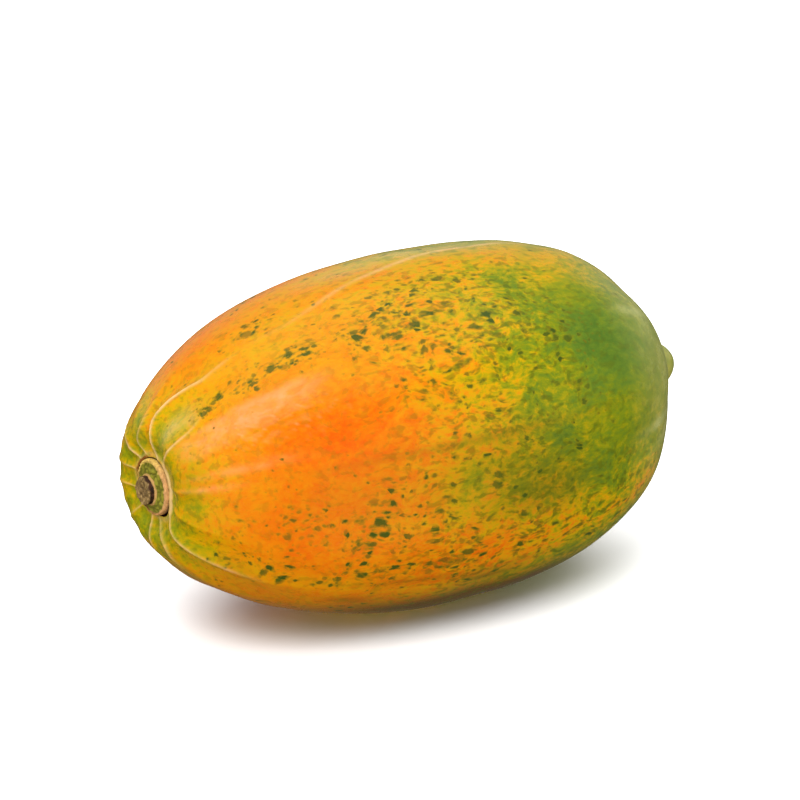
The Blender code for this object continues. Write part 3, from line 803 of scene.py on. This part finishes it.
# the stub's dark side, partly painted shade
STUB_SIDE_AND_SHADE = ((0.35, "#1A0E08"), (0.65, "#452816"))
STUB_CUT = ((0.30, "#4E3A1C"), (0.50, "#7A6034"), (0.70, "#AC8C58"))
STUB_FOOT = "#B98E50"
dry_stalk = bpy.data.materials.new("dry corky stalk")
dry_stalk.use_nodes = True
tree = dry_stalk.node_tree
shader = tree.nodes["Principled BSDF"]
field = {name: add(tree, "ShaderNodeAttribute", attribute_name=name).outputs["Fac"]
         for name in ("cap", "wall", "base", "disc", "low", "knob", "upper", "near")}
place = add(tree, "ShaderNodeTexCoord").outputs["Object"]
rough = add(tree, "ShaderNodeTexNoise", {"Vector": place, "Scale": 1 / CORK_GRAIN,
                                         "Detail": 4.0}).outputs["Fac"]
shade = add(tree, "ShaderNodeMapRange", {0: rough, 1: 0.35, 2: 0.62, 3: 0.45, 4: 0.0}).outputs[0]
layers = linear(CORK_BELOW)
for mask, hex_code in ((field["upper"], CORK_LIT_ABOVE), (field["near"], CORK_NEAR), (shade, CORK_CREVICES)):
    layers = add(tree, "ShaderNodeMix", {0: mask, 6: layers, 7: linear(hex_code)},
                 data_type="RGBA").outputs[2]
green_disc = add(tree, "ShaderNodeValToRGB", {0: field["knob"]}, stops=DISC_GREEN).outputs[0]
wall_brown_and_shade = add(tree, "ShaderNodeValToRGB", {0: rough}, stops=STUB_SIDE_AND_SHADE).outputs[0]
cap_brown = add(tree, "ShaderNodeValToRGB", {0: rough}, stops=STUB_CUT).outputs[0]
for name, coat in (("disc", green_disc), ("base", linear(STUB_FOOT)), ("wall", wall_brown_and_shade),
                   ("cap", cap_brown), ("low", wall_brown_and_shade)):
    layers = add(tree, "ShaderNodeMix", {0: field[name], 6: layers, 7: coat},
                 data_type="RGBA").outputs[2]
tree.links.new(layers, shader.inputs["Base Color"])
shader.inputs["Roughness"].default_value = CORK_ROUGHNESS
shader.inputs["Specular IOR Level"].default_value = CORK_SPECULAR
bump = add(tree, "ShaderNodeBump", {"Height": rough, "Strength": 0.6, "Distance": CORK_DEPTH})
tree.links.new(bump.outputs[0], shader.inputs["Normal"])

stub.data.materials.append(dry_stalk)
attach(stub, "root")
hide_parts("stem_stub")


# Studio
# A pale floor under even white light and broad suns: a key at the upper left and one overhead,
# and low ones for the light that a white sweep throws back, which the floor doesn't stop. The
# floor has a lamp of its own, as a photographer's backdrop does.
FLOOR_SIDE = 12.0
FLOOR_BELOW = 0.0001            # gap that keeps the floor from flickering through the flat
FLOOR_WHITE = "#F8F8F8"
FLOOR_ROUGHNESS = 0.9
FLOOR_SPECULAR = 0.2
WORLD_ABOVE = 0.54
WORLD_BELOW = 0.10
HORIZON = (-0.15, 0.10)         # rise of a direction where the light below gives way to that above
bpy.ops.mesh.primitive_plane_add(size=FLOOR_SIDE, location=(0, 0, -FLOOR_BELOW))
floor = bpy.context.object
floor.name = "floor"
sweep = bpy.data.materials.new("matte white sweep")
sweep.use_nodes = True
sweep_shader = sweep.node_tree.nodes["Principled BSDF"]
sweep_shader.inputs["Base Color"].default_value = linear(FLOOR_WHITE)
sweep_shader.inputs["Roughness"].default_value = FLOOR_ROUGHNESS
sweep_shader.inputs["Specular IOR Level"].default_value = FLOOR_SPECULAR
floor.data.materials.append(sweep)
floor.visible_diffuse = False
floor.visible_glossy = False
floor.visible_shadow = False
floor_only = bpy.data.collections.new("floor only")
floor_only.objects.link(floor)
fruit_only = bpy.data.collections.new("fruit only")
fruit_only.objects.link(fruit)
fruit_only.objects.link(stub)

world = bpy.data.worlds.new("even white studio")
bpy.context.scene.world = world
world.use_nodes = True
world_tree = world.node_tree
toward = add(world_tree, "ShaderNodeTexCoord").outputs["Generated"]
rise = add(world_tree, "ShaderNodeSeparateXYZ", {0: toward}).outputs[2]
brightness = add(world_tree, "ShaderNodeMapRange",
                 {0: rise, 1: HORIZON[0], 2: HORIZON[1], 3: WORLD_BELOW, 4: WORLD_ABOVE},
                 interpolation_type="SMOOTHSTEP").outputs[0]
background = world_tree.nodes["Background"]
background.inputs["Color"].default_value = (1, 1, 1, 1)
world_tree.links.new(brightness, background.inputs["Strength"])


def facing(azimuth, elevation):
    """The direction towards a place at an azimuth, 0 at -Y and turning to +X, and an elevation."""
    side, height = math.radians(azimuth), math.radians(elevation)
    return Vector((math.sin(side) * math.cos(height), -math.cos(side) * math.cos(height),
                   math.sin(height)))


# Azimuth, elevation and breadth of each sun in degrees, its strength, and the only pieces that it
# lights, or None where it lights all
LAMPS = (
    ("key", -54, 47, 36, 0.56, None),
    ("overhead", 0, 88, 80, 0.53, None),
    ("left fill", -70, -5, 70, 0.42, fruit_only),
    ("right fill", 22, -12, 80, 0.46, fruit_only),
    ("low fill", -20, -35, 80, 0.24, fruit_only),
    ("floor wash", 0, 90, 100, 0.90, floor_only),
)
for name, azimuth, elevation, breadth, strength, onto in LAMPS:
    lamp = bpy.data.lights.new(name, "SUN")
    lamp.energy = strength * math.pi
    lamp.angle = math.radians(breadth)
    holder = bpy.data.objects.new(name, lamp)
    bpy.context.scene.collection.objects.link(holder)
    holder.rotation_euler = facing(azimuth, elevation).to_track_quat("Z", "Y").to_euler()
    holder.light_linking.receiver_collection = onto
    holder.visible_glossy = onto != fruit_only

# The photograph's view: a long lens a little above the fruit, turned towards its stalk
VIEW_AZIMUTH = -33
VIEW_ELEVATION = 18.98
VIEW_DISTANCE = 1.3
TARGET_FROM_TIP = 0.12248
TARGET_HEIGHT = 0.07315
LENS_MM = 161.2
SENSOR_MM = 36
lens = bpy.data.cameras.new("view")
lens.lens = LENS_MM
lens.sensor_width = SENSOR_MM
camera = bpy.data.objects.new("view", lens)
bpy.context.scene.collection.objects.link(camera)
away = facing(VIEW_AZIMUTH, VIEW_ELEVATION)
camera.location = Vector((fruit_high[0] - TARGET_FROM_TIP, 0, TARGET_HEIGHT)) + VIEW_DISTANCE * away
camera.rotation_euler = away.to_track_quat("Z", "Y").to_euler()
bpy.context.scene.camera = camera
bpy.context.scene.view_settings.view_transform = "Standard"
